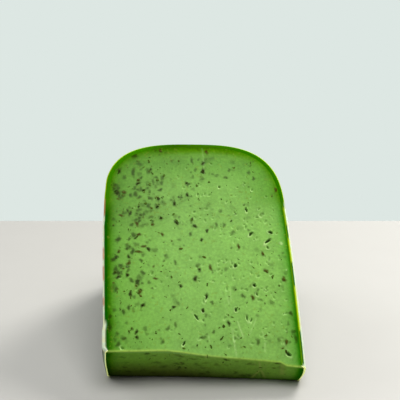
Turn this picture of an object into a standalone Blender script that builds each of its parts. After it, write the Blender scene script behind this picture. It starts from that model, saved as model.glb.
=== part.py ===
"""Wedge of green herb cheese, cut from a small wheel and lying on one of its two cut faces.

Metres, +Z up. X runs along the wheel's own axis and +Y from the cut-off tip to the rounded rim. The
lower cut face lies in the plane z = 0, and the origin is under the middle of the wedge's bounding box.

Places on a cut face are given as (across, reach): the distance along X from the middle of the wheel's
height, and the distance from the wheel's axis.
"""

import math

import bmesh
import bpy
import numpy as np
from mathutils import Matrix, Vector

# The wheel that the wedge was cut from
WHEEL_RADIUS = 0.1312
WHEEL_HEIGHT = 0.0922
RIM_DEPTH_LEFT = 0.0375  # how far in from the rim the flat at -X starts to curve round it
RIM_DEPTH_RIGHT = 0.0420  # the same for the flat at +X, which sagged a little in the mould
RIM_POWER = 3.1  # power of the rim's superellipse: 2 is an ellipse, more is squarer
FLAT_SWELL = 0.0005  # how far each flat swells between the two cuts
RIND_ROUND = 0.0012  # rounding of the rind along the cuts

# The two cuts that pass through the wheel's axis
WEDGE_ANGLE = math.radians(47.0)
CUT_ROLL = math.radians(1.75)  # the upper cut is higher towards -X

# The cut that took the tip off, as (across, reach) corners along its edge on each cut face
TIP_UPPER = [
    (-0.0460, 0.0263),
    (-0.0170, 0.0262),
    (-0.0100, 0.0253),
    (0.0000, 0.0236),
    (0.0345, 0.0199),
    (0.0368, 0.0184),
    (0.0460, 0.0173),
]
TIP_LOWER = [
    (-0.0460, 0.0286),
    (0.0000, 0.0240),
    (0.0460, 0.0176),
]
TIP_ROUND = 0.0004  # rounding of the tip cut's edges

# How far each flat stands out of true towards +X, as (reach, shift)
LEFT_SHIFT = [
    (0.0265, 0.0003),
    (0.0310, 0.0001),
    (0.0355, 0.0001),
    (0.0385, 0.0006),
    (0.0500, 0.0004),
    (0.0720, 0.0002),
    (0.0860, 0.0001),
    (0.0930, 0.0006),
    (0.1060, 0.0009),
    (0.1120, 0.0004),
]
RIGHT_SHIFT = [
    (0.0200, 0.0003),
    (0.0280, 0.0005),
    (0.0400, 0.0006),
    (0.0700, 0.0006),
    (0.0860, 0.0002),
    (0.0980, -0.0003),
    (0.1150, 0.0000),
]
LEFT_CORNER = 0.0014  # rubbed off the edge between the flat at -X and the tip cut, at the upper cut
LEFT_CORNER_LEAST = 0.35  # share of that left at the lower cut
RIGHT_CORNER = 0.0011  # the same at +X, at the lower cut, and nothing at the upper one
CORNER_REACH = 0.0013  # how far along the flats the rubbed edges reach

# Small openings in the upper cut face: across, reach, length, width, turn in degrees
PITS = [
    (0.0252, 0.0941, 0.0026, 0.0012, 4),
    (0.0264, 0.0814, 0.0025, 0.0014, -50),
    (0.0362, 0.0821, 0.0024, 0.0014, 70),
    (0.0345, 0.0777, 0.0035, 0.0014, -48),
    (0.0340, 0.0744, 0.0019, 0.0013, 40),
    (0.0174, 0.0654, 0.0021, 0.0016, -20),
    (0.0258, 0.0556, 0.0017, 0.0015, 0),
    (0.0160, 0.0441, 0.0018, 0.0014, 20),
    (-0.0026, 0.0410, 0.0036, 0.0012, 40),
    (-0.0088, 0.0292, 0.0023, 0.0012, -25),
    (0.0386, 0.0234, 0.0024, 0.0015, 34),
    (-0.0363, 0.0278, 0.0018, 0.0011, 60),
]
PIT_DEPTH = 0.0009

# How finely the outline and the sweep between the cuts are divided
RIM_STEPS = 40
FLAT_STATIONS = (0.0, 0.0008, 0.002, 0.005, 0.009, 0.012, 0.022, 0.034, 0.046, 0.058)  # from the tip
TIP_STEPS = 36
SWEEP_STEPS = 12
ROUND_DEPTHS = (0.0, 0.14, 0.5)  # rings of the rounding under each cut, as shares of its radius
RIM_SAMPLES = 2001  # points that the rim's curve is measured by
SHARP_ANGLE = math.radians(30)

HALF_HEIGHT = WHEEL_HEIGHT / 2
TIP_NEAREST = (TIP_UPPER[-1][1] + TIP_ROUND) * math.cos(WEDGE_ANGLE)  # lowest y, at the upper right corner
ORIGIN_SHIFT = Vector((0.0, -(WHEEL_RADIUS + TIP_NEAREST) / 2, 0.0))

CHEESE_COLOUR = (0.215, 0.420, 0.090, 1.0)


def clear_scene():
    """Remove every object that the scene starts with."""
    for old in list(bpy.data.objects):
        bpy.data.objects.remove(old, do_unlink=True)


def cheese_material():
    """Semi-hard cheese, tinted green by the herbs pressed into it."""
    material = bpy.data.materials.new("herb_cheese")
    material.use_nodes = True
    shader = material.node_tree.nodes["Principled BSDF"]
    shader.inputs["Base Color"].default_value = CHEESE_COLOUR
    shader.inputs["Roughness"].default_value = 0.5
    shader.inputs["Metallic"].default_value = 0.0
    return material


def rounding_inset(depth, radius):
    """How far a rounded edge stands back from its side, at a depth under the face it rounds into."""
    left = max(radius - depth, 0.0)
    return radius - math.sqrt(radius**2 - left**2)


def even_rim_turns():
    """Turns from the left end of the rim to the right one that part its curve into equal lengths."""
    turns = np.linspace(math.pi, 0.0, RIM_SAMPLES)
    points = np.array([rim_point(turn, HALF_HEIGHT, WHEEL_RADIUS) for turn in turns])
    lengths = np.concatenate([[0.0], np.cumsum(np.linalg.norm(np.diff(points, axis=0), axis=1))])
    return np.interp(np.linspace(0.0, lengths[-1], RIM_STEPS + 1), lengths, turns)


def rim_depth(across):
    """Depth of the rounded rim on one side of the wheel."""
    return RIM_DEPTH_LEFT if across < 0 else RIM_DEPTH_RIGHT


def rim_point(turn, half_height, radius):
    """Point of the rim as (across, reach), for a turn of pi at its left end and 0 at its right end."""
    across = half_height * math.copysign(abs(math.cos(turn)) ** (2 / RIM_POWER), math.cos(turn))
    rise = abs(math.sin(turn)) ** (2 / RIM_POWER)
    return across, radius - rim_depth(across) * (1 - rise)


def tip_reach(across, angle):
    """Distance from the wheel's axis to the flat cut across the tip, at an angle up from the lower cut."""
    lower = np.interp(across, *zip(*TIP_LOWER))
    upper = np.interp(across, *zip(*TIP_UPPER))
    spread = lower * math.sin(angle) + upper * math.sin(WEDGE_ANGLE - angle)
    return lower * upper * math.sin(WEDGE_ANGLE) / spread


def flat_shift(across, reach, from_tip, angle):
    """How far a point of the rind stands out of true towards +X."""
    rubbed = math.exp(-((from_tip / CORNER_REACH) ** 2))
    share = min(max(angle / WEDGE_ANGLE, 0.0), 1.0)
    if across < 0:
        rubbed *= LEFT_CORNER_LEAST + (1 - LEFT_CORNER_LEAST) * math.sqrt(share)
        shift = np.interp(reach, *zip(*LEFT_SHIFT)) + LEFT_CORNER * rubbed
    else:
        shift = np.interp(reach, *zip(*RIGHT_SHIFT)) - RIGHT_CORNER * rubbed * (1 - share)
    return shift * (abs(across) / HALF_HEIGHT) ** 3


def outline(ring, turns):
    """One closed ring of the skin: up the left flat, over the rim, down the right flat, along the tip.

    A ring is (which cut it is counted from, depth under that cut or None, share of the sweep). The
    rings next to a cut keep their depth under it, and the others are spread evenly between them.
    """
    side, depth, share = ring
    swell = FLAT_SWELL * math.sin(math.pi * share)
    inset = rounding_inset(depth, RIND_ROUND) if depth is not None else 0.0
    tip_inset = rounding_inset(depth, TIP_ROUND) if depth is not None else 0.0
    half = HALF_HEIGHT - FLAT_SWELL + swell - inset
    radius = WHEEL_RADIUS - inset
    nearest = WEDGE_ANGLE if side == "upper" else 0.0

    def angle_at(reach):
        """Angle up from the lower cut at which this ring passes a point that far from the axis."""
        first = RIND_ROUND / reach
        if depth is None:
            return first + (WEDGE_ANGLE - 2 * first) * share
        return depth / reach if side == "lower" else WEDGE_ANGLE - depth / reach

    def place(across, reach, angle):
        """Turn a point of the ring up about the wheel's axis."""
        lean = across * math.sin(CUT_ROLL) * angle / WEDGE_ANGLE
        return Vector((across, reach * math.cos(angle), reach * math.sin(angle) - lean))

    def tip_point(across):
        """Point of the ring on the cut across the tip."""
        angle = angle_at(tip_reach(across, nearest))
        return place(across, tip_reach(across, angle) + tip_inset, angle)

    def rind_point(across, reach, from_tip):
        """Point of the ring on the rind."""
        angle = angle_at(reach)
        return place(across + flat_shift(across, reach, from_tip, angle), reach, angle)

    def corner(across):
        """Where across the wheel the tip's cut meets a flat."""
        reach = tip_reach(across, nearest)
        return across + flat_shift(across, reach, 0.0, angle_at(reach))

    def flat_points(across):
        """Points of a flat, from the tip towards the rim."""
        end = radius - rim_depth(across)
        points = [tip_point(corner(across))]
        for from_tip in FLAT_STATIONS[1:]:
            angle = angle_at(tip_reach(across, nearest) + from_tip)
            reach = tip_reach(across, angle) + tip_inset + from_tip
            points.append(rind_point(across, min(reach, end - 0.002), from_tip))
        return points

    points = flat_points(-half)
    for turn in turns:
        across, reach = rim_point(turn, half, radius)
        points.append(rind_point(across, reach, reach))
    points += reversed(flat_points(half))
    left, right = corner(-half), corner(half)
    for step in range(TIP_STEPS - 1, 0, -1):
        points.append(tip_point(left + (right - left) * step / TIP_STEPS))
    return points


def skin_rings():
    """The rings from the lower cut to the upper one, as outline() reads them."""
    rings = [("lower", share * RIND_ROUND, 0.0) for share in ROUND_DEPTHS]
    rings += [("between", None, step / SWEEP_STEPS) for step in range(SWEEP_STEPS + 1)]
    return rings + [("upper", share * RIND_ROUND, 1.0) for share in reversed(ROUND_DEPTHS)]


def wedge_mesh():
    """The wedge as one closed skin of rings, shut by its two flat cut faces."""
    turns = even_rim_turns()
    bm = bmesh.new()
    rings = [[bm.verts.new(point + ORIGIN_SHIFT) for point in outline(ring, turns)] for ring in skin_rings()]
    count = len(rings[0])
    for below, above in zip(rings, rings[1:]):
        for i in range(count):
            j = (i + 1) % count
            bm.faces.new((below[i], above[i], above[j], below[j]))
    bm.faces.new(rings[0])
    bm.faces.new(list(reversed(rings[-1])))
    bmesh.ops.recalc_face_normals(bm, faces=bm.faces)
    mesh = bpy.data.meshes.new("cheese_wedge")
    bm.to_mesh(mesh)
    bm.free()
    return mesh


def cut_face_point(across, reach):
    """Place a point of the upper cut face in the part's frame."""
    height = reach * math.sin(WEDGE_ANGLE) - across * math.sin(CUT_ROLL)
    return Vector((across, reach * math.cos(WEDGE_ANGLE), height)) + ORIGIN_SHIFT


def pit_cutter():
    """Small long hollows that open in the upper cut face, joined in one cutter."""
    along_x = (cut_face_point(0.01, 0.05) - cut_face_point(0.0, 0.05)).normalized()
    up_face = (cut_face_point(0.0, 0.06) - cut_face_point(0.0, 0.05)).normalized()
    outward = along_x.cross(up_face).normalized()
    facing = Matrix((along_x, up_face, outward)).transposed().to_4x4()
    bm = bmesh.new()
    for across, reach, length, width, turn in PITS:
        place = Matrix.Translation(cut_face_point(across, reach)) @ facing
        shape = Matrix.Rotation(math.radians(turn), 4, "Z") @ Matrix.Diagonal((width, length, 2 * PIT_DEPTH, 1.0))
        bmesh.ops.create_icosphere(bm, subdivisions=2, radius=0.5, matrix=place @ shape)
    mesh = bpy.data.meshes.new("pit_cutter")
    bm.to_mesh(mesh)
    bm.free()
    cutter = bpy.data.objects.new("pit_cutter", mesh)
    cutter.hide_render = True
    cutter.display_type = "WIRE"
    bpy.context.scene.collection.objects.link(cutter)
    return cutter


def make_wedge():
    """The cheese wedge, with its pits cut into the upper cut face."""
    wedge = bpy.data.objects.new("cheese_wedge", wedge_mesh())
    bpy.context.scene.collection.objects.link(wedge)
    wedge.data.materials.append(cheese_material())
    wedge.data.shade_smooth()
    wedge.data.set_sharp_from_angle(angle=SHARP_ANGLE)
    pits = wedge.modifiers.new("pits", "BOOLEAN")
    pits.operation = "DIFFERENCE"
    pits.object = pit_cutter()
    return wedge


def main():
    """Model the cheese wedge in an empty scene."""
    clear_scene()
    make_wedge()


if __name__ == "__main__":
    main()
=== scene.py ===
"""Looks of a wedge of green herb cheese that lies on one of its cut faces.

Metres, +Z up. X runs along the axis of the wheel that the wedge was cut from, and +Y from the cut-off
tip to the rounded rim. Places on a cut face are (across, reach): the distance along X from the middle
of the wheel's height, and the distance from the wheel's axis.
"""

import logging
import math
from collections.abc import Callable
from dataclasses import dataclass, field
from enum import Enum

import bpy
import numpy as np
from mathutils import Euler, Matrix, Vector


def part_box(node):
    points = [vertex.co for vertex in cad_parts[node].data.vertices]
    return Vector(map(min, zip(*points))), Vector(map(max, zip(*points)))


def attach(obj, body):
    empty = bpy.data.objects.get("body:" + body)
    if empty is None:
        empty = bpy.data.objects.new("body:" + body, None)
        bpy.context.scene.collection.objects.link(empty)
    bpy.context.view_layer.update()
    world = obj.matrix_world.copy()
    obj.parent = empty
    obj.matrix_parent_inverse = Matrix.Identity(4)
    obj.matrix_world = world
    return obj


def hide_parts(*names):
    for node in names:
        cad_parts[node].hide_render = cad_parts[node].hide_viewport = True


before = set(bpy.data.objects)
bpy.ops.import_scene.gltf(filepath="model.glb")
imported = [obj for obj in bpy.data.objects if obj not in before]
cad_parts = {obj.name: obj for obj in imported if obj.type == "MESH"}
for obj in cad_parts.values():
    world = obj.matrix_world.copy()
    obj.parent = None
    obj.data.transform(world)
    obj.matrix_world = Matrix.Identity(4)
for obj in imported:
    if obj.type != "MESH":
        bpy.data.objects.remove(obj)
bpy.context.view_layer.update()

WEDGE_NODE = "cheese_wedge"
BODY = "root"
MM = 0.001
PIT_HALF = 0.6  # from a pit's middle to its rim, as a share of its length and width

Pairs = tuple[tuple[float, float], ...]
Rows = tuple[tuple[float, ...], ...]
Stops = tuple[tuple[float, tuple[float, ...]], ...]

log = logging.getLogger("cheese")


def srgb(red: float, green: float, blue: float) -> tuple[float, float, float, float]:
    """Turn a colour as seen on screen, 0 to 255, into Blender's linear one."""
    linear = []
    for part in (red, green, blue):
        part = part / 255
        linear.append(part / 12.92 if part <= 0.04045 else ((part + 0.055) / 1.055) ** 2.4)
    return (*linear, 1.0)


# Node trees


def operator(operation: str, reflected: bool = False) -> Callable[..., "Value"]:
    """Make a method that adds a Math node.

    Args:
        operation: the node's operation.
        reflected: whether the other value comes first.

    Returns:
        The method.
    """

    def method(self: "Value", *others: "Value | float") -> "Value":
        """Add the node to this value's tree."""
        values = (self, *others)
        return self.maker.math(operation, *(reversed(values) if reflected else values))

    return method


class Value:
    """A node's socket that Python's operators add Math nodes to."""

    __add__ = __radd__ = operator("ADD")
    __sub__ = operator("SUBTRACT")
    __rsub__ = operator("SUBTRACT", reflected=True)
    __mul__ = __rmul__ = operator("MULTIPLY")
    __truediv__ = operator("DIVIDE")
    __rtruediv__ = operator("DIVIDE", reflected=True)
    __pow__ = operator("POWER")
    __abs__ = operator("ABSOLUTE")
    at_least = operator("MAXIMUM")
    at_most = operator("MINIMUM")

    def __init__(self, maker: "NodeMaker", socket: bpy.types.NodeSocket) -> None:
        """Wrap a socket of the maker's tree."""
        self.maker = maker
        self.socket = socket

    def ease(self, start: float, end: float, low: float = 0.0, high: float = 1.0) -> "Value":
        """Go smoothly from low to high as this goes from start to end."""
        sockets = {"Value": self, "From Min": start, "From Max": end, "To Min": low, "To Max": high}
        return self.maker.node("ShaderNodeMapRange", {"interpolation_type": "SMOOTHSTEP"}, sockets)


class NodeMaker:
    """Adds nodes to one shader or geometry tree."""

    def __init__(self, tree: bpy.types.NodeTree) -> None:
        """Work on a tree."""
        self.tree = tree

    def node(
        self,
        kind: str,
        settings: dict[str, object] | None = None,
        sockets: dict[str | int, object] | None = None,
        output: str | int = 0,
    ) -> Value:
        """Add a node.

        Args:
            kind: the node's type name.
            settings: its own properties, and "stops" for a colour ramp.
            sockets: values or links of its inputs, by name or number.
            output: which output to hand back.

        Returns:
            The wanted output.
        """
        made = self.tree.nodes.new(kind)
        for name, setting in (settings or {}).items():
            if name == "stops":
                self._set_stops(made.color_ramp, setting)
            else:
                setattr(made, name, setting)
        for key, given in (sockets or {}).items():
            self.feed(made.inputs[key], given)
        return Value(self, made.outputs[output])

    @staticmethod
    def _set_stops(ramp: bpy.types.ColorRamp, stops: Stops) -> None:
        """Give a colour ramp its stops."""
        while len(ramp.elements) < len(stops):
            ramp.elements.new(0.5)
        for element, (place, colour) in zip(ramp.elements, stops):
            element.position = place
            element.color = colour

    def feed(self, socket: bpy.types.NodeSocket, given: object) -> None:
        """Link a socket to a Value, or set it to a plain value."""
        if isinstance(given, Value):
            self.tree.links.new(given.socket, socket)
        else:
            socket.default_value = given

    def math(self, operation: str, *values: "Value | float") -> Value:
        """Add a Math node on one to three values."""
        return self.node("ShaderNodeMath", {"operation": operation}, dict(enumerate(values)))

    def vector(self, operation: str, *values: object, output: str = "Vector") -> Value:
        """Add a Vector Math node."""
        return self.node("ShaderNodeVectorMath", {"operation": operation}, dict(enumerate(values)), output)

    def scaled(self, vector: Value, by: Value) -> Value:
        """A vector or colour times a number."""
        return self.node("ShaderNodeVectorMath", {"operation": "SCALE"}, {0: vector, "Scale": by})

    def ramp(self, stops: Stops, factor: Value) -> Value:
        """A colour ramp with linear colours."""
        return self.node("ShaderNodeValToRGB", {"stops": stops}, {0: factor}, "Color")

    def split(self, vector: Value) -> list[Value]:
        """A vector's three parts."""
        outputs = self.node("ShaderNodeSeparateXYZ", {}, {0: vector}).socket.node.outputs
        return [Value(self, output) for output in outputs]

    def mix_colour(self, factor: "Value | float", first: object, second: object, blend: str = "MIX") -> Value:
        """Mix two colours, where the factor is the share of the second."""
        settings = {"data_type": "RGBA", "blend_type": blend, "clamp_factor": True}
        return self.node("ShaderNodeMix", settings, {0: factor, 6: first, 7: second}, 2)

    def layered(self, colour: object, *layers: tuple[Value, object]) -> Value:
        """Mix more colours over one, each by its own factor."""
        for factor, over in layers:
            colour = self.mix_colour(factor, colour, over)
        return colour

    def noise(self, place: Value, size: Value | float, detail: float = 2.0, output: str = "Fac") -> Value:
        """Noise whose features have a size in metres, with some finer layers."""
        sockets = {"Vector": place, "Scale": 1 / size, "Detail": detail}
        return self.node("ShaderNodeTexNoise", {}, sockets, output)


class ShaderMaker(NodeMaker):
    """A material with one Principled shader, and the nodes that feed it."""

    def __init__(self, name: str) -> None:
        """Make a material of that name."""
        self.material = bpy.data.materials.new(name)
        self.material.use_nodes = True
        super().__init__(self.material.node_tree)
        self.shader = self.tree.nodes["Principled BSDF"]

    def place(self) -> Value:
        """Object coordinates, in metres."""
        return self.node("ShaderNodeTexCoord", output="Object")

    def attribute(self, name: str) -> Value:
        """A number stored on the mesh's points."""
        return self.node("ShaderNodeAttribute", {"attribute_name": name}, output="Fac")

    def surface(self, **sockets: object) -> bpy.types.Material:
        """Feed the Principled shader's inputs, named with _ for each space."""
        for name, given in sockets.items():
            self.feed(self.shader.inputs[name.replace("_", " ")], given)
        return self.material

    def bump(self, height: Value, depth: float) -> Value:
        """A normal bent by a height, where 1 stands for the depth in metres."""
        sockets = {"Height": height, "Distance": depth, "Strength": 1.0}
        return self.node("ShaderNodeBump", {}, sockets, "Normal")


class GeometryMaker(NodeMaker):
    """A geometry tree with named inputs, run once on an object and turned into a plain mesh."""

    def __init__(self, name: str) -> None:
        """Make an empty tree of that name."""
        super().__init__(bpy.data.node_groups.new(name, "GeometryNodeTree"))
        self.tree.interface.new_socket("Geometry", in_out="INPUT", socket_type="NodeSocketGeometry")
        self.tree.interface.new_socket("Geometry", in_out="OUTPUT", socket_type="NodeSocketGeometry")
        self.entry = self.tree.nodes.new("NodeGroupInput")
        self.values: dict[str, object] = {}

    def given(self, name: str, value: float | int) -> Value:
        """Add a named input, which the object's modifier sets to the value."""
        kind = "NodeSocketInt" if isinstance(value, int) else "NodeSocketFloat"
        item = self.tree.interface.new_socket(name, in_out="INPUT", socket_type=kind)
        self.values[item.identifier] = value
        return Value(self, self.entry.outputs[name])

    def geometry(self) -> Value:
        """The geometry that the tree is run on."""
        return Value(self, self.entry.outputs["Geometry"])

    def stored(self, name: str) -> Value:
        """A number stored on the points."""
        return self.node("GeometryNodeInputNamedAttribute", {"data_type": "FLOAT"}, {"Name": name})

    def store(self, geometry: Value, name: str, value: Value, domain: str = "INSTANCE") -> Value:
        """Store a number on the instances, or on another domain."""
        settings = {"data_type": "FLOAT", "domain": domain}
        sockets = {"Geometry": geometry, "Name": name, "Value": value}
        return self.node("GeometryNodeStoreNamedAttribute", settings, sockets)

    def random(self, low: float, high: float, seed: int) -> Value:
        """A random number for each point."""
        sockets = {2: low, 3: high, "Seed": seed}
        return self.node("FunctionNodeRandomValue", {"data_type": "FLOAT"}, sockets, 1)

    def finish(self, geometry: Value, material: bpy.types.Material) -> None:
        """Realize what is instanced, give it its material and hand it out."""
        real = self.node("GeometryNodeRealizeInstances", {}, {"Geometry": geometry})
        dressed = self.node("GeometryNodeSetMaterial", {}, {"Geometry": real, "Material": material})
        leave = self.tree.nodes.new("NodeGroupOutput")
        self.feed(leave.inputs["Geometry"], dressed)

    def run(self, mesh: bpy.types.Mesh, name: str) -> bpy.types.Object:
        """Run the tree on a mesh.

        Args:
            mesh: the mesh to start from.
            name: name of the new object.

        Returns:
            An object with the resulting plain mesh.
        """
        carrier = bpy.data.objects.new(name + "_carrier", mesh)
        bpy.context.scene.collection.objects.link(carrier)
        modifier = carrier.modifiers.new(name, "NODES")
        modifier.node_group = self.tree
        for identifier, value in self.values.items():
            modifier[identifier] = value
        graph = bpy.context.evaluated_depsgraph_get()
        made = bpy.data.meshes.new_from_object(carrier.evaluated_get(graph), depsgraph=graph)
        made.name = name
        bpy.data.objects.remove(carrier, do_unlink=True)
        return link_object(name, made)


def link_object(name: str, mesh: bpy.types.Mesh) -> bpy.types.Object:
    """Put a mesh in the scene as an object at the origin."""
    made = bpy.data.objects.new(name, mesh)
    bpy.context.scene.collection.objects.link(made)
    return made


def add_attribute(mesh: bpy.types.Mesh, name: str, values: np.ndarray) -> None:
    """Store a number for each point of a mesh."""
    mesh.attributes.new(name, "FLOAT", "POINT").data.foreach_set("value", values.astype(np.float32))


# Curves and marks


def step(values: np.ndarray, start: float, end: float) -> np.ndarray:
    """Go straight from 0 at the start to 1 at the end, which may lie below it."""
    return np.clip((values - start) / (end - start), 0, 1)


def bell(values: np.ndarray, width: float) -> np.ndarray:
    """Fall smoothly from 1 at zero to 0 well beyond the width."""
    return np.exp(-((values / width) ** 2))


def turned(across: np.ndarray, up: np.ndarray, degrees: float) -> tuple[np.ndarray, np.ndarray]:
    """Distances along and aside of a mark that is turned out of the upright."""
    turn = math.radians(degrees)
    along = up * math.cos(turn) - across * math.sin(turn)
    return along, across * math.cos(turn) + up * math.sin(turn)


def bend(along: np.ndarray, start: float) -> np.ndarray:
    """How far a mark's middle line bends aside."""
    return 0.25 * np.sin(3 * along + start)


# The wedge's form


def wheel_axis(radius: float = 0.1312) -> float:
    """Where the wheel's axis lies along Y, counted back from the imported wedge's rim."""
    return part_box(WEDGE_NODE)[1].y - radius


@dataclass(frozen=True)
class WheelCut:
    """The wheel and the three cuts that make the wedge, in metres and radians."""

    radius: float = 0.1312
    axis_y: float = field(default_factory=wheel_axis)
    height: float = 0.0922
    rim_depth_left: float = 0.0375
    rim_depth_right: float = 0.0420
    rim_power: float = 3.1
    flat_swell: float = 0.0005
    rind_round: float = 0.0012
    tip_round: float = 0.0004
    wedge_angle: float = math.radians(47.0)
    cut_roll: float = math.radians(1.75)
    tip_upper: Pairs = (
        (-0.0460, 0.0263), (-0.0170, 0.0262), (-0.0100, 0.0253), (0.0000, 0.0236), (0.0345, 0.0199),
        (0.0368, 0.0184), (0.0460, 0.0173),
    )
    tip_lower: Pairs = ((-0.0460, 0.0286), (0.0000, 0.0240), (0.0460, 0.0176))
    left_shift: Pairs = (
        (0.0265, 0.0003), (0.0310, 0.0001), (0.0355, 0.0001), (0.0385, 0.0006), (0.0500, 0.0004),
        (0.0720, 0.0002), (0.0860, 0.0001), (0.0930, 0.0006), (0.1060, 0.0009), (0.1120, 0.0004),
    )
    right_shift: Pairs = (
        (0.0200, 0.0003), (0.0280, 0.0005), (0.0400, 0.0006), (0.0700, 0.0006), (0.0860, 0.0002),
        (0.0980, -0.0003), (0.1150, 0.0000),
    )
    left_corner: float = 0.0014
    left_corner_least: float = 0.35
    right_corner: float = 0.0011
    corner_reach: float = 0.0013
    corner_thinning: float = 500.0

    @property
    def half(self) -> float:
        """Half the wheel's height, without the swell of its flats."""
        return self.height / 2 - self.flat_swell

    def rim_depth(self, across: np.ndarray) -> np.ndarray:
        """Depth of the rounded rim on each side of the wheel."""
        return np.where(across < 0, self.rim_depth_left, self.rim_depth_right)

    def outline_level(self, across: float, reach: float) -> float:
        """Where a point lies between the wheel's middle, 0, and its outline, 1."""
        rim = float(self.rim_depth(np.array(across)))
        high = max(0.0, (reach - self.radius + rim) / rim)
        wide, power = abs(across) * 2 / self.height, self.rim_power
        return (wide**power + high**power) ** (1 / power)

    def skin_path(
        self, along: np.ndarray, half: float, radius: float, tips: np.ndarray
    ) -> tuple[np.ndarray, np.ndarray]:
        """Follow the rind from the tip's left end, over the rim, to the tip's right end.

        Args:
            along: -1 to 0 up the left flat, 0 to pi over the rim, pi to pi + 1 down the right flat.
            half: half the height of the wheel there.
            radius: radius of the wheel there.
            tips: distance of the tip from the wheel's axis, at each station.

        Returns:
            The stations' across and reach.
        """
        turn = math.pi - np.clip(along, 0, math.pi)
        power = 2 / self.rim_power
        across = half * np.sign(np.cos(turn)) * np.abs(np.cos(turn)) ** power
        rim = radius - self.rim_depth(across) * (1 - np.abs(np.sin(turn)) ** power)
        up = np.clip(np.where(along < 0, along + 1, 1 + math.pi - along), 0, 1)
        return across, np.where((along < 0) | (along > math.pi), tips + (rim - tips) * up, rim)

    def tip_reach(self, across: np.ndarray, angle: np.ndarray | float) -> np.ndarray:
        """Distance from the wheel's axis to the cut across the tip, at an angle up from the lower cut."""
        lower = np.interp(across, *zip(*self.tip_lower))
        upper = np.interp(across, *zip(*self.tip_upper))
        spread = lower * np.sin(angle) + upper * np.sin(self.wedge_angle - angle)
        return lower * upper * math.sin(self.wedge_angle) / spread

    def flat_shift(
        self,
        across: np.ndarray,
        reach: np.ndarray,
        from_tip: np.ndarray | float,
        angle: np.ndarray,
        inset: float,
    ) -> np.ndarray:
        """How far points of the rind stand out of true towards +X.

        Args:
            across: the points' distance from the middle of the wheel's height.
            reach: their distance from the wheel's axis.
            from_tip: their distance from the cut across the tip.
            angle: their angle up from the lower cut.
            inset: how far they lie inside the coating, which is rubbed thinner at its corners.

        Returns:
            The shift of each point.
        """
        rubbed = bell(from_tip, self.corner_reach) * (1 - self.corner_thinning * inset)
        share = step(angle, 0, self.wedge_angle)
        least = self.left_corner_least
        left_rub = self.left_corner * rubbed * (least + (1 - least) * share**0.5)
        left = np.interp(reach, *zip(*self.left_shift)) + left_rub
        right = np.interp(reach, *zip(*self.right_shift)) - self.right_corner * rubbed * (1 - share)
        return np.where(across < 0, left, right) * (np.abs(across) / (self.height / 2)) ** 3

    def place(self, across: np.ndarray, reach: np.ndarray, angle: np.ndarray | float) -> np.ndarray:
        """Points at an angle up from the lower cut, in the part's frame."""
        lean = across * math.sin(self.cut_roll) * angle / self.wedge_angle
        y = reach * np.cos(angle) + self.axis_y
        return np.stack(np.broadcast_arrays(across, y, reach * np.sin(angle) - lean), axis=-1)

    def reach_of(self, points: np.ndarray) -> np.ndarray:
        """Distance of points in the part's frame from the wheel's axis, in millimetres."""
        height = points[..., 2] + points[..., 0] * math.sin(self.cut_roll)
        return np.hypot(points[..., 1] - self.axis_y, height) / MM

    def on_cut(self, across: float, reach: float) -> Vector:
        """A point of the upper cut face, in the part's frame."""
        return Vector(self.place(np.array(across), np.array(reach), self.wedge_angle))

    @property
    def cut_normal(self) -> Vector:
        """Outward normal of the upper cut face."""
        corner = self.on_cut(0, 0)
        return (self.on_cut(1, 0) - corner).cross(self.on_cut(0, 1) - corner).normalized()


class RingSide(Enum):
    """Which cut a ring of the skin is counted from."""

    LOWER = "lower"
    BETWEEN = "between"
    UPPER = "upper"


@dataclass(frozen=True)
class Ring:
    """One closed ring of the skin: a depth under a cut, or a share of the way between the cuts."""

    side: RingSide
    depth: float = 0.0
    share: float = 0.0


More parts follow.
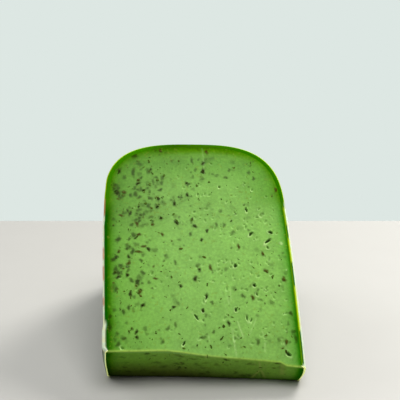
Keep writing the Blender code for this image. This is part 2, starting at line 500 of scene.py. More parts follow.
@dataclass(frozen=True)
class SkinGrid:
    """Rows and columns of the skin between the two cuts."""

    cut: WheelCut
    across_steps: int = 200
    side_steps: int = 230
    sweep_steps: int = 26
    round_shares: tuple[float, ...] = (0.0, 0.03, 0.1, 0.22, 0.4, 0.65)

    def rings(self) -> list[Ring]:
        """The rings from the lower cut to the upper one."""
        depths = [share * self.cut.rind_round for share in self.round_shares]
        lower = [Ring(RingSide.LOWER, depth) for depth in depths]
        between = [Ring(RingSide.BETWEEN, share=i / self.sweep_steps) for i in range(self.sweep_steps + 1)]
        return lower + between + [Ring(RingSide.UPPER, depth, 1.0) for depth in reversed(depths)]

    def stations(self) -> np.ndarray:
        """Evenly spaced stations up the left side, over the top and down the right side."""
        dense = np.concatenate([np.linspace(-1, 0, 400), np.linspace(0, math.pi, 4001)[1:]])
        dense = np.concatenate([dense, np.linspace(math.pi, math.pi + 1, 400)[1:]])
        tips = self.cut.tip_reach(np.where(dense < 1, -self.cut.half, self.cut.half), self.cut.wedge_angle)
        points = np.stack(self.cut.skin_path(dense, self.cut.half, self.cut.radius, tips), axis=1)
        lengths = np.concatenate([[0], np.cumsum(np.linalg.norm(np.diff(points, axis=0), axis=1))])
        left = np.interp(math.pi * 0.25, dense, lengths)
        right = np.interp(math.pi * 0.75, dense, lengths)
        wanted = [
            np.linspace(0, left, self.side_steps + 1),
            np.linspace(left, right, self.across_steps + 1)[1:],
            np.linspace(right, lengths[-1], self.side_steps + 1)[1:],
        ]
        return np.interp(np.concatenate(wanted), lengths, dense)

    def ring_points(self, ring: Ring, along: np.ndarray, tip_shares: np.ndarray, inset: float) -> np.ndarray:
        """Points of one ring: the stations of the rind, then the tip's edge from right to left.

        Args:
            ring: the ring.
            along: the rind's stations.
            tip_shares: stations of the tip's edge, from 1 at the right to -1 at the left.
            inset: how far the whole skin stands in from the wheel's surface.

        Returns:
            The points, one row each.
        """
        cut = self.cut
        curve = [0.0, 0.0]
        if ring.side is not RingSide.BETWEEN:
            for i, round_radius in enumerate((cut.rind_round, cut.tip_round)):
                left = max(round_radius - ring.depth, 0.0)
                curve[i] = round_radius - math.sqrt(round_radius**2 - left**2)
        swell = cut.flat_swell * math.sin(math.pi * ring.share)
        half = cut.half + swell - curve[0] - inset
        radius = cut.radius - curve[0] - inset
        nearest = cut.wedge_angle if ring.side is RingSide.UPPER else 0.0

        def angle_at(reach: np.ndarray) -> np.ndarray:
            """Angle up from the lower cut at which the ring passes each point."""
            first = cut.rind_round / reach
            if ring.side is RingSide.BETWEEN:
                return first + (cut.wedge_angle - 2 * first) * ring.share
            return np.abs(nearest - ring.depth / reach)

        corners = np.array([-half, half])
        corner_reach = cut.tip_reach(corners, nearest)
        corners = corners + cut.flat_shift(corners, corner_reach, 0.0, angle_at(corner_reach), inset)
        ends = np.where(along < math.pi / 2, corners[0], corners[1])
        across, reach = cut.skin_path(along, half, radius, cut.tip_reach(ends, nearest))
        tips = cut.tip_reach(ends, angle_at(reach)) + curve[1]
        across, reach = cut.skin_path(along, half, radius, tips)
        across = across + cut.flat_shift(across, reach, reach - tips, angle_at(reach), inset)
        rind = cut.place(across, reach, angle_at(reach))
        across = corners[0] + (corners[1] - corners[0]) * (tip_shares + 1) / 2
        angle = angle_at(cut.tip_reach(across, nearest))
        tip = cut.place(across, cut.tip_reach(across, angle) + curve[1], angle)
        return np.concatenate([rind, tip])


@dataclass(frozen=True)
class Pit:
    """A small opening or crack in the upper cut face, in millimetres and degrees."""

    across: float
    reach: float
    length: float
    width: float
    turn: float
    depth: float = 0.8


@dataclass(frozen=True)
class Score:
    """A faint line that the knife left on the upper cut face, in millimetres."""

    start: tuple[float, float]
    end: tuple[float, float]
    width: float = 0.5
    depth: float = 0.05
    pale: float = 1.0


@dataclass(frozen=True)
class Crease:
    """A fold line in the cut across the tip, as (across, height) in millimetres. Pale paints a highlight on
    the fold's lit side; depth presses the fold in and paints shade into it.
    """

    start: tuple[float, float]
    end: tuple[float, float]
    width: float = 0.35
    pale: float = 0.8
    depth: float = 0.0


class HerbKind(Enum):
    """How a herb lies in the cut face, as the place of its flake on the herbs' colour ramp."""

    DARK = 0.05
    RUSTY = 0.97
    SUNK = 0.5


@dataclass(frozen=True)
class Herb:
    """A herb in a cut face, in millimetres and degrees: a sunk one shows through as a soft spot."""

    kind: HerbKind
    across: float
    reach: float
    length: float
    width: float
    turn: float
    strength: float = 1.0

    def covers(self, across: float, reach: float) -> bool:
        """Whether a place lies within half the herb's length of its middle."""
        return math.hypot(across - self.across, reach - self.reach) < 0.5 * self.length


PITS = (
    Pit(25.2, 94.1, 2.4, 0.9, 4, 0.9), Pit(26.4, 81.4, 2.4, 1.2, -44, 0.9),
    Pit(36.2, 82.1, 2.2, 1.2, 67, 0.9), Pit(34.5, 77.7, 3.6, 1.1, -48, 1.0),
    Pit(34.0, 74.4, 1.6, 1.0, 40, 0.6), Pit(17.4, 65.4, 1.9, 1.4, -20, 0.9),
    Pit(25.8, 55.6, 1.5, 1.3, 0, 0.9), Pit(16.0, 44.1, 1.6, 1.2, 20, 1.0),
    Pit(-2.6, 41.0, 3.4, 0.8, 40), Pit(-8.8, 29.2, 2.1, 0.8, -25), Pit(38.6, 23.4, 2.3, 1.4, 34, 1.0),
    Pit(-36.3, 27.8, 1.8, 1.1, 60, 0.4), Pit(12.5, 106.5, 1.3, 1.0, 0, 0.6),
    Pit(2.8, 50.2, 3.0, 0.7, -21, 0.6), Pit(0.7, 44.0, 1.5, 1.1, -8, 0.8),
    Pit(22.7, 39.2, 2.0, 0.8, -11, 0.6), Pit(20.9, 40.3, 2.8, 0.8, 8, 0.6),
    Pit(26.6, 51.3, 1.7, 0.9, 19, 0.6), Pit(29.0, 105.0, 1.1, 0.9, 0, 0.4),
    Pit(32.2, 91.2, 1.6, 1.2, 0, 0.3),
)
SCORES = (
    Score((13.0, 37.5), (15.0, 21.8), 0.40, 0.05), Score((16.3, 39.5), (18.6, 30.5), 0.38, 0.04),
    Score((25.4, 40.8), (21.0, 31.5), 0.35, 0.06, 0.7),
    Score((28.3, 29.8), (27.7, 24.2), 0.40, 0.06, 0.8),
    Score((13.9, 55.5), (14.4, 47.5), 0.35, 0.05, 0.6),
    Score((12.2, 51.5), (13.2, 46.5), 0.45, 0.08, 0.7),
    Score((2.5, 33.2), (3.1, 29.2), 0.35, 0.05, 0.7),
    Score((27.2, 35.0), (28.4, 30.8), 0.35, 0.05, 0.6),
    Score((35.8, 31.0), (38.0, 25.0), 0.35, 0.05, 0.5),
    Score((9.2, 58.0), (13.0, 37.5), 0.30, 0.04, 0.3),
    Score((5.2, 130.0), (5.4, 112.0), 0.40, 0.03, 0.35),
    Score((40.4, 75.7), (41.2, 77.3), 0.80, 0.0, 1.6),
    Score((41.8, 62.7), (42.0, 63.7), 0.35, 0.0, 1.3),
)
CREASES = (
    Crease((24.6, 14.4), (26.0, 7.8), 0.40, 0.80), Crease((26.0, 7.8), (22.4, 0.3), 0.45, 1.00),
    Crease((26.0, 7.8), (29.2, 0.6), 0.45, 0.85), Crease((25.6, 6.6), (27.6, 0.8), 0.50, 0.0, 0.15),
    Crease((22.9, 14.4), (23.4, 9.5), 0.35, 0.30), Crease((28.6, 13.5), (27.4, 7.5), 0.35, 0.25),
    Crease((35.4, 13.6), (35.9, 3.5), 1.10, 0.60), Crease((1.3, 18.5), (1.6, 15.0), 0.35, 0.0, 0.25),
    Crease((0.7, 18.5), (1.0, 15.0), 0.35, 0.9),
)
DARK_HERBS = (
    (-28.0, 108.5, 2.6, 1.1, -60), (-18.3, 100.3, 2.0, 1.3, 5), (-10.4, 97.4, 2.5, 1.5, 22),
    (-9.8, 87.6, 2.8, 1.5, 30), (-1.0, 85.6, 2.6, 1.4, 75), (-3.7, 102.2, 2.4, 1.1, 18),
    (5.2, 119.8, 2.4, 1.6, -50), (4.9, 115.3, 2.8, 1.9, 18), (-21.6, 116.2, 1.4, 1.0, 0),
    (-32.2, 92.5, 2.8, 1.1, -14), (2.0, 78.5, 1.4, 1.1, 0), (-38.9, 70.0, 2.0, 1.4, -60),
    (-38.2, 60.5, 2.2, 1.5, -30), (-33.8, 61.4, 1.9, 1.2, 0), (-32.4, 52.3, 2.8, 1.2, 10),
    (-26.9, 46.9, 2.4, 1.2, -45), (-29.9, 34.9, 1.8, 1.2, -5), (-29.8, 32.4, 1.4, 1.2, 0),
    (-12.8, 45.8, 2.0, 1.0, -60), (-9.2, 55.8, 1.5, 1.2, 0), (-2.1, 59.3, 2.4, 1.7, 0),
    (0.2, 63.5, 1.8, 1.4, -20), (12.3, 38.0, 2.2, 1.1, 8), (0.6, 44.0, 1.7, 1.2, 0),
    (-23.7, 74.0, 2.2, 1.2, 30), (-2.0, 89.3, 1.4, 1.0, 0), (5.0, 83.2, 1.9, 1.0, -20),
    (2.7, 50.8, 2.6, 0.8, -15),
)
RUSTY_HERBS = (
    (-28.2, 53.4, 2.5, 1.9, 0), (-28.3, 81.4, 2.4, 1.0, 85), (-35.0, 103.6, 2.0, 1.3, 80),
    (-29.0, 87.0, 3.0, 1.2, 20), (-36.5, 91.3, 2.4, 0.8, 80), (-21.5, 86.6, 1.4, 1.2, 0),
    (-16.8, 81.3, 1.6, 1.2, 0), (-16.3, 126.9, 1.8, 1.0, 10), (7.3, 126.3, 2.4, 1.2, 10),
    (41.2, 105.0, 2.2, 1.2, 0), (-26.0, 75.4, 3.0, 1.0, 85), (-28.3, 72.7, 4.2, 0.9, 88),
    (-37.7, 73.0, 1.5, 1.0, 0), (-33.2, 67.2, 2.2, 1.4, -40), (-20.7, 59.5, 2.0, 0.8, 90),
    (19.8, 75.0, 2.6, 1.0, 0), (40.3, 58.5, 2.4, 1.7, 30), (32.0, 62.7, 2.3, 1.4, 35),
    (31.3, 71.3, 2.4, 1.1, 22), (24.4, 49.8, 2.4, 1.2, 5), (5.5, 64.5, 3.0, 1.1, 20),
    (38.0, 29.0, 2.4, 1.2, 5),
)
SUNK_HERBS = (
    (-40.0, 105.5, 2.0, 1.6, 0, 0.8), (-38.1, 106.2, 2.6, 1.6, -10, 0.7),
    (-31.8, 102.0, 1.8, 1.4, 10, 0.8), (-27.5, 101.0, 2.0, 1.1, -70, 0.8),
    (-22.7, 100.5, 1.6, 1.3, 0, 0.8), (-22.4, 104.0, 1.6, 1.1, 20, 0.7),
    (-3.0, 108.0, 2.4, 1.0, -60, 0.8), (-0.5, 121.2, 4.0, 1.0, 8, 0.7),
    (-30.3, 114.5, 5.0, 1.3, -4, 0.8), (-35.0, 111.8, 2.2, 1.6, 0, 0.6),
    (-19.0, 111.7, 2.2, 1.0, 75, 0.7), (-16.0, 111.5, 2.2, 1.3, 10, 0.75),
    (-16.3, 108.8, 2.6, 1.3, -10, 0.7), (-17.2, 105.0, 2.4, 1.0, -60, 0.9),
    (-28.0, 94.2, 3.2, 1.2, -80, 0.6), (-29.3, 89.0, 3.0, 1.0, -85, 0.7),
    (-30.7, 81.2, 2.6, 1.8, 0, 0.8), (-38.0, 79.0, 3.0, 2.0, -20, 0.9),
    (-3.2, 81.5, 2.0, 1.0, -20, 0.8), (-6.6, 100.9, 1.0, 0.9, 0, 0.9), (-8.1, 101.0, 1.0, 0.9, 0, 0.9),
    (18.3, 116.0, 1.8, 1.0, 0, 0.7), (28.3, 114.6, 1.8, 1.4, 0, 0.7), (30.4, 111.3, 1.9, 1.0, -10, 0.8),
    (9.7, 86.3, 2.2, 1.0, 5, 0.7), (13.5, 86.2, 2.2, 1.1, 0, 0.7), (-31.3, 73.0, 3.2, 1.5, -8, 0.9),
    (-27.3, 68.4, 1.8, 1.1, 25, 0.8), (-36.8, 62.3, 2.2, 1.0, -30, 0.7),
    (-29.0, 57.9, 3.4, 1.9, -20, 1.0), (-31.8, 58.8, 2.4, 1.3, 50, 0.8),
    (-39.3, 54.7, 2.6, 1.8, 0, 0.8), (-33.3, 46.0, 2.6, 1.1, 0, 0.9), (-35.7, 44.0, 1.9, 1.2, 0, 0.8),
    (-41.8, 42.0, 2.2, 1.5, 0, 0.8), (-42.2, 37.5, 4.5, 1.8, 0, 0.8), (-35.7, 32.0, 2.4, 1.5, 45, 0.8),
    (-38.2, 29.6, 2.6, 1.5, -20, 0.8), (-18.4, 30.2, 1.8, 1.2, -20, 0.8),
    (-15.8, 36.2, 2.4, 1.0, -45, 0.7), (-12.3, 37.5, 2.6, 0.9, -5, 0.7),
    (-11.2, 67.2, 2.4, 0.9, 15, 0.7), (5.1, 47.7, 1.6, 1.3, 60, 0.8), (20.0, 50.6, 2.3, 1.3, 35, 0.8),
    (41.6, 42.0, 2.0, 1.5, 60, 0.9), (0.2, 31.8, 3.0, 1.2, 80, 0.7), (5.0, 34.2, 1.5, 1.1, 0, 0.8),
    (25.0, 29.3, 3.0, 1.5, 10, 0.8), (42.6, 30.5, 4.0, 1.2, 5, 0.7), (-12.3, 49.0, 3.0, 2.4, 0, 0.35),
)
TIP_HERBS = (
    (-25.5, 18.0, 2.6, 0.9, 90, 0.8), (-21.5, 11.1, 4.5, 1.2, 85, 0.5), (-9.5, 10.5, 1.6, 1.4, 0, 0.6),
    (-4.8, 14.4, 4.0, 0.7, 90, 0.6), (-3.5, 10.7, 1.8, 1.5, 0, 0.5), (2.2, 4.4, 2.0, 1.2, 60, 0.5),
    (5.5, 11.0, 1.8, 1.3, 0, 0.5), (10.0, 14.6, 2.6, 1.0, 70, 0.9), (15.0, 4.7, 2.0, 1.2, 0, 0.5),
    (20.5, 12.0, 3.4, 1.0, -70, 0.6), (33.2, 12.8, 2.8, 1.0, 80, 0.8),
)


@dataclass(frozen=True)
class HerbField:
    """All herbs of the upper cut face: those that catch the eye, and smaller ones drawn between them."""

    drawn: int = 275
    seed: int = 23
    together: float = 0.45
    apart: float = 1.9
    outermost: float = 0.95
    across_range: tuple[float, float] = (-43, 43)
    reach_range: tuple[float, float] = (21, 128)
    least_share: float = 0.42
    left_share: float = 0.55
    low_left: float = 0.35
    upper_share: float = 0.45
    rusty_share: float = 0.35
    bare_share: float = 0.07
    bare_left: float = 0.22
    least_length: float = 0.7
    more_length: float = 2.0
    more_left: float = 0.8

    def listed(self) -> list[Herb]:
        """The herbs that catch the eye."""
        kinds = ((HerbKind.DARK, DARK_HERBS), (HerbKind.RUSTY, RUSTY_HERBS), (HerbKind.SUNK, SUNK_HERBS))
        return [Herb(kind, *row) for kind, rows in kinds for row in rows]

    def herbs(self, cut: WheelCut) -> list[Herb]:
        """The listed herbs and the drawn ones, which lie thickest at the left and the upper left.

        Args:
            cut: the wheel and its cuts, whose outline the drawn herbs stay within.

        Returns:
            All herbs of the face.
        """
        draw = np.random.default_rng(self.seed)
        herbs = self.listed()
        wanted = len(herbs) + self.drawn
        while len(herbs) < wanted:
            across, reach = draw.uniform(*self.across_range), draw.uniform(*self.reach_range)
            if draw.random() < self.together:
                beside = herbs[draw.integers(len(herbs))]
                across = beside.across + draw.normal(0, self.apart)
                reach = beside.reach + draw.normal(0, self.apart)
            left = (1.0 if reach > 62 else self.low_left) / (1 + math.exp((across + 23) / 5))
            upper = (reach > 90) * (across < 10) * self.upper_share
            level = cut.outline_level(across * MM, reach * MM)
            outside = reach < self.reach_range[0] or level > self.outermost
            if outside or draw.random() > self.least_share + self.left_share * left + upper:
                continue
            if any(herb.covers(across, reach) for herb in herbs):
                continue
            bare = draw.random() < self.bare_left * left + self.bare_share
            bare_kind = HerbKind.RUSTY if draw.random() < self.rusty_share else HerbKind.DARK
            kind = bare_kind if bare else HerbKind.SUNK
            length = self.least_length + self.more_length * draw.random() ** 1.9 + self.more_left * left
            width = length * draw.uniform(0.45, 0.9)
            strength = 0.22 + 0.30 * left + 0.48 * draw.random() ** 1.4
            herbs.append(Herb(kind, across, reach, length, width, draw.uniform(-90, 90), strength))
        return herbs


@dataclass
class CheeseBody:
    """The cheese itself: one closed mesh with a fine upper cut face."""

    cut: WheelCut
    grid: SkinGrid
    skin_inset: float = 0.94 * MM
    # Painted highlight along the tip's upper edge, where light would catch the rounded ridge: its width, and
    # its strength along X.
    ridge_highlight_width: float = 0.55
    ridge_highlight_shares: Pairs = ((-44, 0.7), (-36, 1), (-16, 1), (2, 0.7), (20, 0.6), (33, 0.6), (37, 0.9))
    pits: tuple[Pit, ...] = PITS
    scores: tuple[Score, ...] = SCORES
    creases: tuple[Crease, ...] = CREASES
    herb_field: HerbField = HerbField()
    small_pits: int = 150
    small_pit_seed: int = 11
    small_pit_depth: float = 0.35
    herb_blur: float = 0.25
    herb_farthest: float = 4.0
    tip_share: float = 0.5
    tip_drawn: int = 34
    tip_seed: int = 4
    wave_height: float = 0.14 * MM
    wave_size: float = 9 * MM
    grain_height: float = 0.09 * MM
    grain_size: float = 1.3 * MM

    def build(self, material: bpy.types.Material) -> bpy.types.Object:
        """Model the body and roughen its cut faces."""
        return self._roughened(self._mesh(), material)

    def _mesh(self) -> bpy.types.Mesh:
        """Rings of skin, a flat lower cut face and a fine grid for the upper one."""
        along = self.grid.stations()
        steps = self.grid.across_steps
        tip_shares = np.linspace(1, -1, steps + 1)[1:-1]
        inset = self.skin_inset
        rings = [self.grid.ring_points(ring, along, tip_shares, inset) for ring in self.grid.rings()]
        count = len(rings[0])
        skin = np.concatenate(rings)
        low, high = np.arange(len(rings) - 1)[:, None] * count, np.arange(1, len(rings))[:, None] * count
        here, after = np.arange(count)[None, :], (np.arange(count) + 1)[None, :] % count
        quads = np.stack([low + here, high + here, high + after, low + after], axis=-1).reshape(-1, 4)
        face_points, face_quads = self._upper_face(rings[-1], (len(rings) - 1) * count, len(skin))
        points = np.concatenate([skin, face_points])
        on_face = np.arange(len(points)) >= len(skin)
        on_tip = (np.arange(len(points)) % count >= len(along)) & ~on_face
        points, marks = self._relief(points, on_face, on_tip)
        mesh = bpy.data.meshes.new("cheese_body")
        faces = [list(range(count))] + quads.tolist() + face_quads.tolist()
        mesh.from_pydata(points.tolist(), [], faces)
        for name, values in marks.items():
            add_attribute(mesh, name, values)
        mesh.shade_smooth()
        mesh.set_sharp_from_angle(angle=math.radians(40))
        return mesh

    def _upper_face(self, edge: np.ndarray, edge_first: int, first: int) -> tuple[np.ndarray, np.ndarray]:
        """Fill the upper cut face with a grid that follows its four sides.

        Args:
            edge: points of the last ring.
            edge_first: number of that ring's first point.
            first: number of the first new point.

        Returns:
            The new points and all the face's quads.
        """
        across, side = self.grid.across_steps, self.grid.side_steps
        ids = np.arange(len(edge))
        left = ids[: side + 1]
        top = ids[side : side + across + 1]
        right = ids[side + across : 2 * side + across + 1][::-1]
        bottom = np.concatenate([[0], ids[2 * side + across + 1 :][::-1], [2 * side + across]])
        u = np.linspace(0, 1, across + 1)[None, :, None]
        v = np.linspace(0, 1, side + 1)[:, None, None]
        ruled = (1 - v) * edge[bottom][None] + v * edge[top][None]
        ruled = ruled + (1 - u) * edge[left][:, None] + u * edge[right][:, None]
        corners = (1 - u) * (1 - v) * edge[bottom[0]] + u * (1 - v) * edge[bottom[-1]]
        corners = corners + (1 - u) * v * edge[top[0]] + u * v * edge[top[-1]]
        points = ruled - corners
        table = np.zeros((side + 1, across + 1), int)
        table[1:-1, 1:-1] = first + np.arange((side - 1) * (across - 1)).reshape(side - 1, across - 1)
        table[0], table[-1], table[:, 0], table[:, -1] = (edge_first + k for k in (bottom, top, left, right))
        quads = np.stack([table[:-1, :-1], table[:-1, 1:], table[1:, 1:], table[1:, :-1]], axis=-1)
        return points[1:-1, 1:-1].reshape(-1, 3), quads.reshape(-1, 4)

    def _small_pits(self) -> list[Pit]:
        """Draw the many tiny pits, more of them right of the middle."""
        draw = np.random.default_rng(self.small_pit_seed)
        pits = []
        while len(pits) < self.small_pits:
            across, reach = draw.uniform(-40, 41), draw.uniform(27, 120)
            if draw.random() > 0.2 + 0.8 * (across > -2) * (reach < 108):
                continue
            width = draw.uniform(0.5, 0.95)
            length, turn = width * draw.uniform(1, 2.2), draw.uniform(0, 180)
            pits.append(Pit(across, reach, length, width, turn, self.small_pit_depth))
        return pits

    def _relief(
        self, points: np.ndarray, on_face: np.ndarray, on_tip: np.ndarray
    ) -> tuple[np.ndarray, dict[str, np.ndarray]]:
        """Press the pits, scores and creases into the cuts, and say where they are.

        Args:
            points: the body's points.
            on_face: which points lie inside the upper cut face.
            on_tip: which points lie on the cut across the tip.

        Returns:
            The moved points, and what is stored on them by name.
        """
        cut = self.cut
        across, height = points[:, 0] / MM, points[:, 2] / MM
        reach = cut.reach_of(points)
        hollow, score, crease, lip_highlights, push = (np.zeros(len(points)) for _ in range(5))
        face = np.flatnonzero(on_face)
        for pit in [*self.pits, *self._small_pits()]:
            near = face[(abs(across[face] - pit.across) < 4) & (abs(reach[face] - pit.reach) < 4)]
            lift, bowl, lip = self._pit_form(pit, across[near] - pit.across, reach[near] - pit.reach)
            push[near] += lift * MM
            # Painted shade inside the pit, darker for deeper pits.
            hollow[near] = np.maximum(hollow[near], bowl * min(1.0, pit.depth / 0.8))
            # Painted highlight on the pit's lower-left lip, which faces the light; weaker for the tiny pits.
            lip_highlights[near] = np.maximum(lip_highlights[near], lip * (0.6 if pit.depth == self.small_pit_depth else 1.5))
        for line in self.scores:
            mark = self._line_mark(line.start, line.end, line.width, across[face], reach[face])
            push[face] -= mark * line.depth * MM
            score[face] = np.maximum(score[face], mark * line.pale)
        moved = points + push[:, None] * np.array(cut.cut_normal)[None]
        tip = np.flatnonzero(on_tip)
        for line in self.creases:
            mark = self._line_mark(line.start, line.end, line.width, across[tip], height[tip])
            moved[tip, 1] += mark * line.depth * MM
            # Painted highlight along the fold.
            crease[tip] = np.maximum(crease[tip], mark * line.pale)
            # A pressed-in crease gets painted shade too.
            hollow[tip] = np.maximum(hollow[tip], mark * line.depth * 3)
        below = (np.array(cut.on_cut(0, 0)) - points) @ np.array(cut.cut_normal) / MM
        behind = reach - np.interp(points[:, 0], *zip(*cut.tip_upper)) / MM
        # Painted highlight along the tip's upper edge, where light catches the rounded ridge.
        ridge = bell(np.hypot(below, behind), self.ridge_highlight_width)
        ridge *= (on_face | on_tip | (below < 0.01)) * np.interp(across, *zip(*self.ridge_highlight_shares))
        deep = on_tip & (below > 1.5) & (height > 1.5) & (abs(across) < 42)
        herbs = self._herb_share(across, reach) * on_face * (behind > 1) + self.tip_share * deep
        marks = {"hollow": hollow, "score": score, "ridge": ridge, "herb_share": herbs * (hollow < 0.05)}
        marks |= {"lip": lip_highlights, "crease": crease, "foot": self._painted_foot_shade(across, height, on_tip)}
        marks |= self._herb_marks(across, reach, height, on_face, on_tip)
        marks["rough_cut"] = on_face * step(behind, 0, 2) + 0.8 * deep
        return moved, marks

    def _herb_marks(
        self,
        across: np.ndarray,
        reach: np.ndarray,
        height: np.ndarray,
        on_face: np.ndarray,
        on_tip: np.ndarray,
    ) -> dict[str, np.ndarray]:
        """Where herbs lie in the two cuts.

        Args:
            across: the points' first face coordinate, in millimetres.
            reach: their second one on the upper cut face.
            height: their second one on the cut across the tip.
            on_face: which points lie in the upper cut face.
            on_tip: which points lie on the cut across the tip.

        Returns:
            For each point, how far it lies from the nearest herb's middle in that herb's own sizes, how
            strong that herb is and how rusty.
        """
        blur = self.herb_blur
        far = np.full(len(across), self.herb_farthest)
        strength, rust = np.zeros(len(across)), np.zeros(len(across))
        faces = ((self.herb_field.herbs(self.cut), on_face, reach), (self._tip_herbs(), on_tip, height))
        for herbs, where, second in faces:
            cut = np.flatnonzero(where)
            for herb in herbs:
                near = cut[(abs(across[cut] - herb.across) < 6) & (abs(second[cut] - herb.reach) < 6)]
                along, aside = turned(across[near] - herb.across, second[near] - herb.reach, herb.turn)
                along, aside = along / (herb.length / 2 + blur), aside / (herb.width / 2 + blur)
                bent = np.hypot(along, aside + bend(along, herb.reach))
                nearer = bent < far[near]
                far[near[nearer]] = bent[nearer]
                strength[near[nearer]] = herb.strength
                rust[near[nearer]] = herb.kind is HerbKind.RUSTY
        return {"herb_far": far, "herb_strength": strength, "herb_rust": rust}

    def _tip_herbs(self) -> list[Herb]:
        """Soft spots of the cut across the tip: the plain ones and some drawn between them."""
        draw = np.random.default_rng(self.tip_seed)
        herbs = [Herb(HerbKind.SUNK, *row) for row in TIP_HERBS]
        for _ in range(self.tip_drawn):
            across, height, length = draw.uniform(-42, 40), draw.uniform(2, 17), draw.uniform(1.0, 3.4)
            turn, strength = draw.uniform(65, 115), draw.uniform(0.25, 0.6)
            herbs.append(Herb(HerbKind.SUNK, across, height, length, length * 0.4, turn, strength))
        return herbs

    @staticmethod
    def _painted_foot_shade(across: np.ndarray, height: np.ndarray, on_tip: np.ndarray) -> np.ndarray:
        """Painted shade on the cut across the tip: darker and more olive towards its foot and at the left."""
        top = np.interp(across, (-46, 46), (19.5, 13.5))
        side = np.interp(across, (-10, 0, 22, 35), (1.0, 0.8, 0.5, 0.2))
        return on_tip * np.clip((1 - height / top) * side + 0.02, 0, 1)

    @staticmethod
    def _pit_form(pit: Pit, dx: np.ndarray, dr: np.ndarray) -> tuple[np.ndarray, np.ndarray, np.ndarray]:
        """Form of one pit, with its slightly raised lip.

        Args:
            pit: the pit.
            dx: distance across from its middle, in millimetres.
            dr: distance up the face from its middle.

        Returns:
            How far each point moves outward in millimetres, how deep in the pit's bowl it lies, and how much
            painted highlight it gets where the lip faces the light at the lower left, both from 0 to 1.
        """
        along, aside = turned(dx, dr, pit.turn)
        along, aside = along / (pit.length * PIT_HALF), aside / (pit.width * PIT_HALF)
        near = np.hypot(along, aside + bend(along, pit.across))
        bowl = np.clip(1 - near**2, 0, 1) ** 0.6
        lip = bell(near - 1.25, 0.35)
        lit_lower_left = 0.5 - 0.5 * (dx + dr) / np.maximum(np.hypot(dx, dr) * 1.42, 0.01)
        return 0.16 * lip * pit.depth - bowl * pit.depth, bowl, lip * lit_lower_left**1.5

    @staticmethod
    def _line_mark(
        start: tuple[float, float], end: tuple[float, float], width: float, x: np.ndarray, y: np.ndarray
    ) -> np.ndarray:
        """Strength of a slightly wavy line, from 0 to 1, at points of a face.

        Args:
            start: the line's first end.
            end: its other end.
            width: half its width.
            x: the points' first coordinate, in the same unit.
            y: their second coordinate.

        Returns:
            The strength at each point.
        """
        first, way = np.array(start), np.array(end) - np.array(start)
        length = np.linalg.norm(way)
        share = ((x - first[0]) * way[0] + (y - first[1]) * way[1]) / length**2
        wander = 0.012 * length * np.sin(share * 5 + first[0])
        off = ((x - first[0]) * way[1] - (y - first[1]) * way[0]) / length + wander
        return bell(off, width) * step(share, 0, 1 / 6) * step(share, 1, 5 / 6)

    @staticmethod
    def _herb_share(across: np.ndarray, reach: np.ndarray) -> np.ndarray:
        """How thickly the herbs lie over the upper cut face: most at the left and the upper left."""
        left = 1 / (1 + np.exp((across + 16) / 6))
        upper = 1 / (1 + np.exp(-(reach - 88) / 8))
        middle = np.exp(-(((across - 2) / 13) ** 2) - ((reach - 62) / 24) ** 2)
        share = 0.55 + 0.85 * left + 0.75 * upper * (across < 6) - 0.30 * middle
        edge = step(np.abs(across), 41.5, 38.5) * step(reach, 126, 122)
        return np.clip(share, 0.05, 2) * edge

    def _roughened(self, mesh: bpy.types.Mesh, material: bpy.types.Material) -> bpy.types.Object:
        """Give the cut faces their slight waves and grain, with geometry nodes.

        Args:
            mesh: the smooth body.
            material: the cheese's material.

        Returns:
            The finished piece.
        """
        tree = GeometryMaker("cut_face_relief")
        wave_height = tree.given("Wave height", self.wave_height)
        wave_size = tree.given("Wave size", self.wave_size)
        grain_height = tree.given("Grain height", self.grain_height)
        grain_size = tree.given("Grain size", self.grain_size)
        where = tree.node("GeometryNodeInputPosition")
        mask = tree.stored("rough_cut")
        wave, grain = tree.noise(where, wave_size, 1.0), tree.noise(where, grain_size)
        height = ((wave - 0.5) * wave_height + (grain - 0.5) * grain_height) * mask
        offset = tree.scaled(tree.node("GeometryNodeInputNormal"), height)
        moved = tree.node("GeometryNodeSetPosition", {}, {"Geometry": tree.geometry(), "Offset": offset})
        tree.finish(moved, material)
        return tree.run(mesh, "cheese_body")


